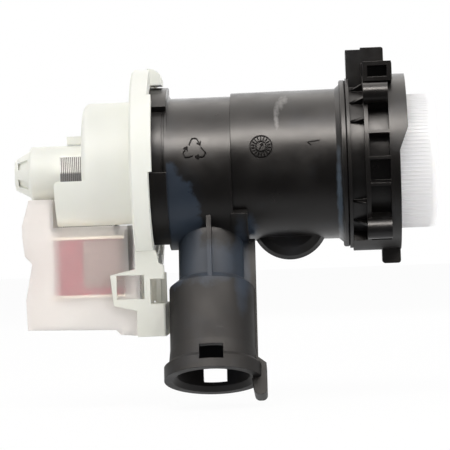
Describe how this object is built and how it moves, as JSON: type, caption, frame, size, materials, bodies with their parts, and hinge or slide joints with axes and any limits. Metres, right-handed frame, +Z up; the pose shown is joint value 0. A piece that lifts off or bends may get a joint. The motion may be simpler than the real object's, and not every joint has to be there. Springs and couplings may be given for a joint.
{
  "type": "washer drain pump",
  "caption": "Synchronous drain pump for a washing machine, with hose socket, sump inlet, mounting collar and a screw-out lint filter.",
  "frame": {"origin": "on the pump axis, in the plane of the four screw faces of the mounting collar", "axes": "+X along the pump axis from the motor to the filter cap, +Z up, -Y towards the side seen in the picture"},
  "size_m": [0.1802, 0.1039, 0.1473],
  "materials": {
    "black_plastic": "moulded, satin",
    "cream_plastic": "moulded, satin",
    "white_plastic": "moulded, satin",
    "grey_plastic": "moulded",
    "bearing_carbon": "ground",
    "seal_rubber": "smooth",
    "shaft_steel": "ground",
    "magnet_ferrite": "ground",
    "core_steel": "stacked sheet edges",
    "bobbin_plastic": "moulded",
    "winding_copper": "enamelled wire under tape",
    "cover_plastic": "translucent",
    "blade_brass": "tinned"
  },
  "bodies": {
    "housing": {"volute_housing": "black_plastic", "filter_chamber": "black_plastic", "filter_collar": "black_plastic", "rotor_can": "cream_plastic", "wet_plate_seal": "seal_rubber", "rear_bearing_mount": "seal_rubber", "rear_bearing": "bearing_carbon", "bearing_holder": "grey_plastic", "front_bearing": "bearing_carbon", "motor_housing": "cream_plastic", "stator_core": "core_steel", "front_bobbin": "bobbin_plastic", "rear_bobbin": "bobbin_plastic", "front_winding": "winding_copper", "rear_winding": "winding_copper", "coil_cover": "cover_plastic", "connector_housing": "cream_plastic", "terminal_blades": "blade_brass"},
    "rotor": {"rotor_shaft": "shaft_steel", "rotor_carrier": "grey_plastic", "rotor_magnet": "magnet_ferrite", "thrust_washer": "bearing_carbon", "drive_dog": "grey_plastic"},
    "impeller": {"impeller": "grey_plastic", "hub_cover": "grey_plastic"},
    "filter_slider": {"filter_seal": "seal_rubber"},
    "filter": {"filter_cap": "white_plastic", "filter_basket": "white_plastic", "basket_grid": "white_plastic"}
  },
  "joints": [
    {"name": "rotor_spin", "type": "hinge", "parent": "housing", "child": "rotor", "pos_m": [-0.12, 0, 0], "axis": [1, 0, 0], "continuous": true},
    {"name": "impeller_free_play", "type": "hinge", "parent": "rotor", "child": "impeller", "pos_m": [-0.09, 0, 0], "axis": [1, 0, 0], "range_deg": [-115, 115]},
    {"name": "filter_pull", "type": "slide", "parent": "housing", "child": "filter_slider", "axis": [1, 0, 0], "range_m": [0, 0.095]},
    {"name": "filter_turn", "type": "hinge", "parent": "filter_slider", "child": "filter", "pos_m": [0, 0, 0], "axis": [1, 0, 0], "range_deg": [0, 450]}
  ]
}
